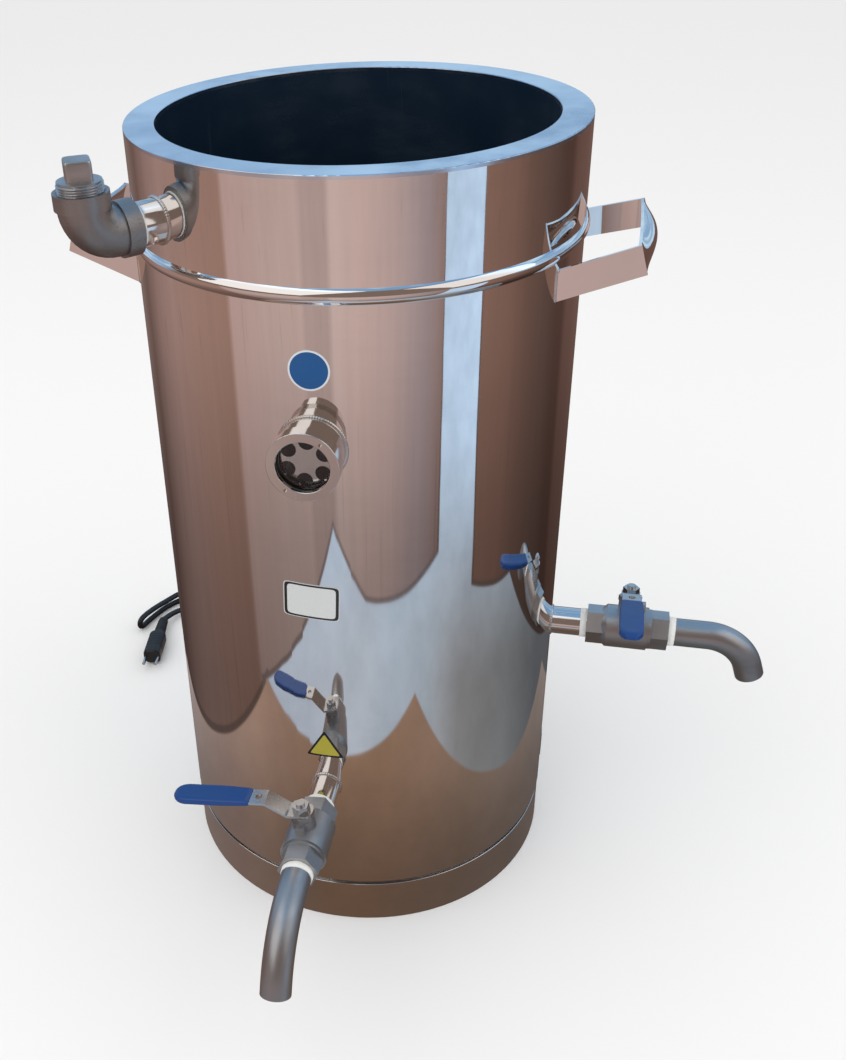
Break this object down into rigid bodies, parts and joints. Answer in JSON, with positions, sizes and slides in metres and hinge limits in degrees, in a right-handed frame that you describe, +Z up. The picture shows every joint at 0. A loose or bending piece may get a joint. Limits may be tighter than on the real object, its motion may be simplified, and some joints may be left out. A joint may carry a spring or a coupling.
{
  "type": "brew kettle",
  "caption": "Tall double-walled electric kettle of polished steel with a sight glass, ball-valve outlets with bent spouts, a capped filling elbow and strap handles.",
  "frame": {"origin": "centre of the skirt's underside, on the floor and on the kettle's axis", "axes": "+Z up along the kettle's axis; -Y is the front, with the lower outlet and the sight glass; +X is the side outlet"},
  "size_m": [0.9535, 0.9677, 0.938],
  "materials": {
    "pot_steel": "satin, dull inside",
    "ring_steel": "satin",
    "polished_steel": "mirror polished stainless",
    "turned_steel": "bright turned stainless",
    "satin_pipe": "satin, slightly oxidised",
    "cast_steel": "cast and bead blasted stainless",
    "bright_steel": "pressed stainless",
    "blue_sleeve": "dipped vinyl",
    "white_seal": "white fluoropolymer",
    "clear_glass": "clear, polished",
    "grey_rubber": "grey seal",
    "plain_steel": "rolled sheet",
    "brass_head": "machined",
    "element_sheath": "heat tinted",
    "black_plastic": "moulded",
    "amber_lamp": "translucent",
    "black_rubber": "smooth rubber",
    "pin_metal": "plated"
  },
  "bodies": {
    "kettle": {"base_skirt": "polished_steel", "cable_gland": "black_plastic", "cover_screws": "bright_steel", "drain_gland_nut": "cast_steel", "drain_packing": "white_seal", "drain_seats": "white_seal", "drain_spout": "satin_pipe", "drain_stub": "turned_steel", "drain_tapes": "white_seal", "drain_valve_body": "cast_steel", "drain_valve_end": "cast_steel", "fill_elbow": "cast_steel", "fill_pipe": "turned_steel", "fill_tape": "white_seal", "handle_left": "polished_steel", "handle_right": "polished_steel", "heater_boss": "plain_steel", "heater_elements": "element_sheath", "heater_head": "brass_head", "inner_pot": "pot_steel", "jacket_floor": "plain_steel", "lead_coil": "black_rubber", "mains_lead": "black_rubber", "outer_shell": "polished_steel", "outlet_gland_nut": "cast_steel", "outlet_packing": "white_seal", "outlet_seats": "white_seal", "outlet_spout": "satin_pipe", "outlet_stub": "turned_steel", "outlet_tapes": "white_seal", "outlet_valve_body": "cast_steel", "outlet_valve_end": "cast_steel", "pilot_lamp": "amber_lamp", "plug_body": "black_rubber", "plug_lead": "black_rubber", "plug_pins": "pin_metal", "rating_plate": "plain_steel", "sensor_pocket": "plain_steel", "sight_bezel": "turned_steel", "sight_gaskets": "grey_rubber", "sight_lens": "clear_glass", "sight_reflector": "turned_steel", "sight_tube": "turned_steel", "terminal_box": "plain_steel", "terminal_cover": "plain_steel", "thermostat_body": "black_plastic", "top_ring": "ring_steel"},
    "drain_rotor": {"drain_ball": "bright_steel", "drain_stem": "bright_steel", "drain_lever": "bright_steel", "drain_grip": "blue_sleeve", "drain_lever_nut": "bright_steel"},
    "outlet_rotor": {"outlet_ball": "bright_steel", "outlet_stem": "bright_steel", "outlet_lever": "bright_steel", "outlet_grip": "blue_sleeve", "outlet_lever_nut": "bright_steel"},
    "filling_plug": {"fill_plug": "cast_steel"},
    "knob": {"thermostat_knob": "black_plastic"}
  },
  "joints": [
    {"name": "drain_valve_turn", "type": "hinge", "parent": "kettle", "child": "drain_rotor", "pos_m": [0, -0.326, 0.226], "axis": [-0.1219, 0, 0.9925], "range_deg": [0, 90]},
    {"name": "outlet_valve_turn", "type": "hinge", "parent": "kettle", "child": "outlet_rotor", "pos_m": [0.326, 0, 0.33], "axis": [0, 0.1392, 0.9903], "range_deg": [0, 90]},
    {"name": "filling_plug_lift", "type": "slide", "parent": "kettle", "child": "filling_plug", "axis": [0, 0, 1], "range_m": [0, 0.06]},
    {"name": "thermostat_turn", "type": "hinge", "parent": "kettle", "child": "knob", "pos_m": [-0.028, 0.31, 0.18], "axis": [0, 1, 0], "range_deg": [0, 270]}
  ]
}
